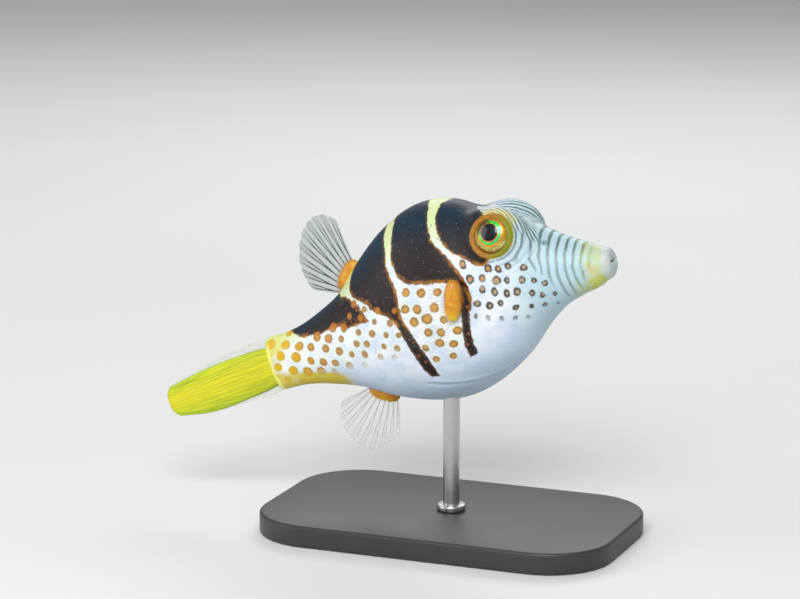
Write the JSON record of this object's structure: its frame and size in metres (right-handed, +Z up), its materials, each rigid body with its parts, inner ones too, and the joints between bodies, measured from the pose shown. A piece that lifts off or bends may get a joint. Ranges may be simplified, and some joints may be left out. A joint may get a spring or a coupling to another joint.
{
  "type": "valentini puffer",
  "caption": "Life-size still model of a small saddled pufferfish swimming nose up, held over a flat display base by a short rod.",
  "frame": {"origin": "middle of the stand's underside, on the surface that it stands on", "axes": "+X runs forward under the fish, from tail to snout, +Y to the fish's left and +Z up"},
  "size_m": [0.0893, 0.04, 0.0609],
  "materials": {
    "skin": "satin painted skin with dark saddles and orange spots",
    "tail_fin": "lemon yellow fin with fine rays",
    "clear_fin": "thin clear fin with rays and an orange fleshy root",
    "eye": "polished, green and orange iris round a black pupil",
    "stand_base": "matt dark",
    "stand_rod": "brushed"
  },
  "bodies": {
    "root": {"head": "skin", "trunk": "skin", "tail_stem": "skin", "tail_fin": "tail_fin", "dorsal_fin": "clear_fin", "anal_fin": "clear_fin", "pectoral_fin_right": "clear_fin", "pectoral_fin_left": "clear_fin", "eye_right": "eye", "eye_left": "eye", "stand_base": "stand_base", "stand_rod": "stand_rod"}
  },
  "joints": []
}
